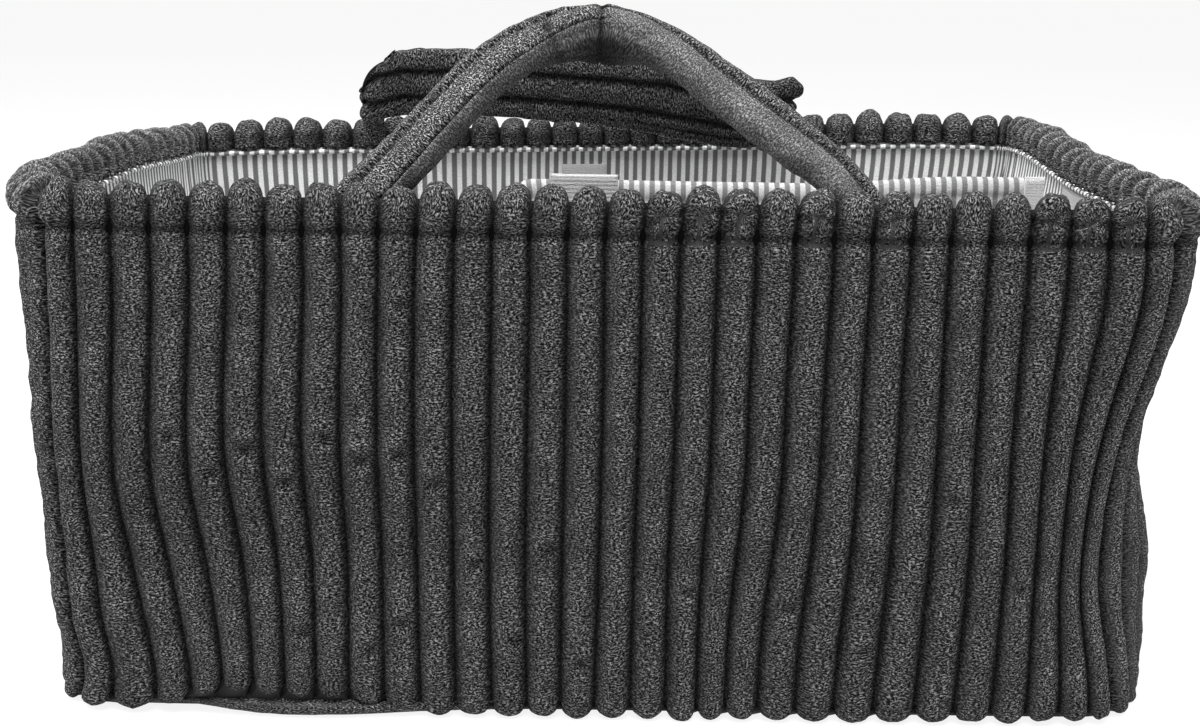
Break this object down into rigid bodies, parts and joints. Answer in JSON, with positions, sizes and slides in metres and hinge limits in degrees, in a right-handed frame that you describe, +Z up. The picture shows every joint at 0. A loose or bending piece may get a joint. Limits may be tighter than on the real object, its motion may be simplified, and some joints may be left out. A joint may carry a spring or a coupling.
{
  "type": "diaper caddy",
  "caption": "Open rectangular basket of ribbed plush with a striped lining, two soft strap handles at the rim and a lift-out padded divider held by hook-and-loop tape.",
  "frame": {"origin": "middle of the flat underside that the basket stands on", "axes": "+Z up, +X along the long side to the right as seen from the front, -Y out of the front"},
  "size_m": [0.381, 0.254, 0.2496],
  "materials": {
    "plush": "matt",
    "lining": "matt",
    "board": "matt",
    "padding": "matt",
    "tape": "satin"
  },
  "bodies": {
    "basket": {"outer_front_panel": "plush", "outer_right_panel": "plush", "outer_back_panel": "plush", "outer_left_panel": "plush", "outer_base_panel": "plush", "front_stiffener": "board", "right_stiffener": "board", "back_stiffener": "board", "left_stiffener": "board", "base_stiffener": "board", "lining_front": "lining", "lining_right": "lining", "lining_back": "lining", "lining_left": "lining", "lining_floor": "lining", "rim_piping": "lining", "back_loop_tape": "tape", "right_loop_tape": "tape", "front_handle_left_tab": "plush", "front_handle_right_tab": "plush", "back_handle_left_tab": "plush", "back_handle_right_tab": "plush"},
    "front_handle": {"front_handle_cover": "plush", "front_handle_padding": "padding"},
    "back_handle": {"back_handle_cover": "plush", "back_handle_padding": "padding"},
    "divider": {"divider_cover": "lining", "divider_core": "padding", "divider_face_tape": "tape", "divider_right_hook_tape": "tape", "divider_left_hook_tape": "tape"}
  },
  "joints": [
    {"name": "front_handle_swing", "type": "hinge", "parent": "basket", "child": "front_handle", "pos_m": [0, -0.1047, 0.1975], "axis": [-1, 0, 0], "range_deg": [-98, 78]},
    {"name": "back_handle_swing", "type": "hinge", "parent": "basket", "child": "back_handle", "pos_m": [0, 0.1062, 0.196], "axis": [1, 0, 0], "range_deg": [-145, 52]},
    {"name": "divider_lift", "type": "slide", "parent": "basket", "child": "divider", "axis": [-0.22, 0, 0.9755], "range_m": [0, 0.2]}
  ]
}
